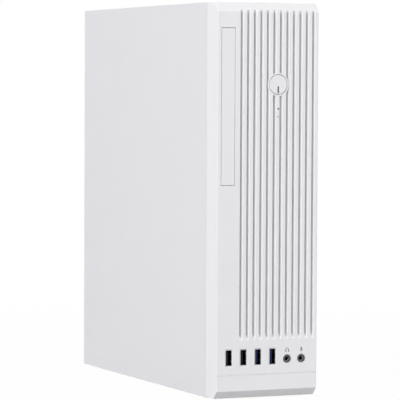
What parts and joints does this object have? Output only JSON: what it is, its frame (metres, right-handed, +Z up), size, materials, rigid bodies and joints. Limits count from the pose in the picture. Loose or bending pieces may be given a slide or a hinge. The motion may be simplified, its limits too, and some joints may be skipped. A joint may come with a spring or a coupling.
{
  "type": "desktop computer tower",
  "caption": "Slim white desktop computer tower with a grooved front, round power button, slim drive bay, front sockets, sliding side panel, fans and rear ports.",
  "frame": {"origin": "under the middle of the whole part, on the surface it stands on", "axes": "+Z up, the front faces -Y, the removable side panel is on -X"},
  "size_m": [0.09, 0.2996, 0.323],
  "materials": {
    "white_paint": "satin powder coat",
    "white_plastic": "fine matte moulding",
    "zinc_steel": "zinc plated sheet",
    "screw_steel": "plated screws",
    "thumbscrew_metal": "nickel plated, knurled",
    "socket_metal": "bright plated shell",
    "black_plastic": "black moulding",
    "blue_plastic": "blue moulding",
    "white_latch": "ivory moulding",
    "smoked_lens": "smoked clear plastic",
    "circuit_board": "green solder mask",
    "heat_sink": "extruded",
    "standoff_brass": "turned",
    "coil_grey": "pressed iron powder",
    "drive_case": "anodised",
    "cable_jacket": "soft black jacket",
    "foot_rubber": "moulded"
  },
  "bodies": {
    "case": {"case_shell": "white_paint", "front_wall": "zinc_steel", "rear_wall": "zinc_steel", "rubber_feet": "foot_rubber", "front_bezel": "white_plastic", "drive_bay_blank": "white_plastic", "power_switch": "black_plastic", "switch_board": "circuit_board", "switch_board_screws": "screw_steel", "status_light_pipes": "smoked_lens", "front_usb_sockets": "socket_metal", "front_usb_tongues_black": "black_plastic", "front_usb_tongues_blue": "blue_plastic", "headphone_jack": "black_plastic", "microphone_jack": "black_plastic", "front_io_board": "circuit_board", "front_io_bracket": "zinc_steel", "expansion_slot_covers": "zinc_steel", "slot_cover_screws": "screw_steel", "io_shield": "zinc_steel", "rear_usb_sockets": "socket_metal", "rear_usb_tongues": "blue_plastic", "network_socket": "socket_metal", "video_socket": "socket_metal", "rear_audio_jacks": "black_plastic", "motherboard": "circuit_board", "board_standoffs": "standoff_brass", "board_screws": "screw_steel", "cpu_socket": "black_plastic", "cpu_heatsink": "heat_sink", "cpu_fan_frame": "black_plastic", "memory_sockets": "black_plastic", "memory_modules": "circuit_board", "expansion_sockets": "black_plastic", "chipset_heatsink": "heat_sink", "board_connectors": "black_plastic", "voltage_coils": "coil_grey", "drive_cage": "zinc_steel", "solid_state_drive": "drive_case", "psu_case": "zinc_steel", "psu_lid": "zinc_steel", "psu_fan_frame": "black_plastic", "psu_board": "circuit_board", "mains_inlet": "black_plastic", "psu_rocker_frame": "black_plastic", "psu_screws": "screw_steel", "power_cables": "cable_jacket", "signal_cables": "cable_jacket"},
    "side_panel": {"side_panel": "white_paint"},
    "thumbscrew_upper": {"thumbscrew_upper": "thumbscrew_metal"},
    "thumbscrew_lower": {"thumbscrew_lower": "thumbscrew_metal"},
    "power_button": {"power_button": "white_plastic", "button_light_bar": "smoked_lens", "switch_plunger": "black_plastic"},
    "cpu_fan": {"cpu_fan_rotor": "black_plastic"},
    "psu_fan": {"psu_fan_rotor": "black_plastic"},
    "psu_rocker": {"psu_rocker": "black_plastic"},
    "memory_latch_rear": {"memory_latch_rear": "white_latch"},
    "memory_latch_front": {"memory_latch_front": "white_latch"}
  },
  "joints": [
    {"name": "power_button_press", "type": "slide", "parent": "case", "child": "power_button", "axis": [0, 1, 0], "range_m": [0, 0.0015], "stiffness_N_per_m": 600, "springref_m": -0.001},
    {"name": "side_panel_slide", "type": "slide", "parent": "case", "child": "side_panel", "axis": [0, 1, 0], "range_m": [0, 0.015]},
    {"name": "cpu_fan_spin", "type": "hinge", "parent": "case", "child": "cpu_fan", "pos_m": [-0.00125, 0.0626, 0.2432], "axis": [1, 0, 0], "continuous": true},
    {"name": "psu_fan_spin", "type": "hinge", "parent": "case", "child": "psu_fan", "pos_m": [0.0005, 0.027, 0.0605], "axis": [0, 0, 1], "continuous": true},
    {"name": "psu_rocker_rock", "type": "hinge", "parent": "case", "child": "psu_rocker", "pos_m": [0.017, 0.1402, 0.0488], "axis": [0, 0, 1], "range_deg": [0, 16]},
    {"name": "thumbscrew_lower_turn", "type": "hinge", "parent": "side_panel", "child": "thumbscrew_lower", "pos_m": [-0.037, 0.1438, 0.0828], "axis": [0, 1, 0], "continuous": true},
    {"name": "thumbscrew_upper_turn", "type": "hinge", "parent": "side_panel", "child": "thumbscrew_upper", "pos_m": [-0.037, 0.1438, 0.279], "axis": [0, 1, 0], "continuous": true},
    {"name": "memory_latch_rear_open", "type": "hinge", "parent": "case", "child": "memory_latch_rear", "pos_m": [0.03225, -0.0094, 0.3026], "axis": [0, 1, 0], "range_deg": [0, 28]},
    {"name": "memory_latch_front_open", "type": "hinge", "parent": "case", "child": "memory_latch_front", "pos_m": [0.03225, -0.0194, 0.3026], "axis": [0, 1, 0], "range_deg": [0, 28]}
  ]
}
